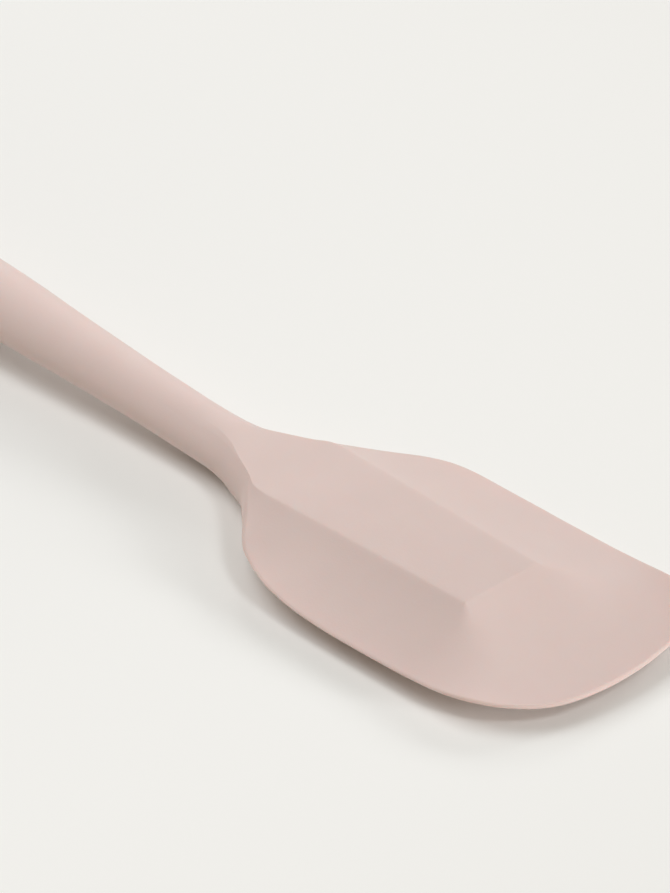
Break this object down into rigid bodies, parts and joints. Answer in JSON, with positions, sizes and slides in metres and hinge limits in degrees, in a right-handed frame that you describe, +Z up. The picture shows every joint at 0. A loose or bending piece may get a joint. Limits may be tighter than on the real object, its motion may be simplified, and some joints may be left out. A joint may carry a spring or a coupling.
{
  "type": "silicone spatula",
  "caption": "Seamless silicone spatula with a swelling oval handle, a hanging hole and a raised panel that runs out into a thin scraping blade, rounder at one corner than at the other.",
  "frame": {"origin": "middle of the whole spatula's footprint, on the table that it lies on", "axes": "+X along the handle towards the blade's tip, +Y across the blade, +Z up from the table through the raised panel"},
  "size_m": [0.282, 0.0594, 0.0177],
  "materials": {
    "silicone": "matte dusty pink",
    "core_steel": "punched strip, as rolled"
  },
  "bodies": {
    "root": {"silicone_body": "silicone", "steel_core": "core_steel"}
  },
  "joints": []
}
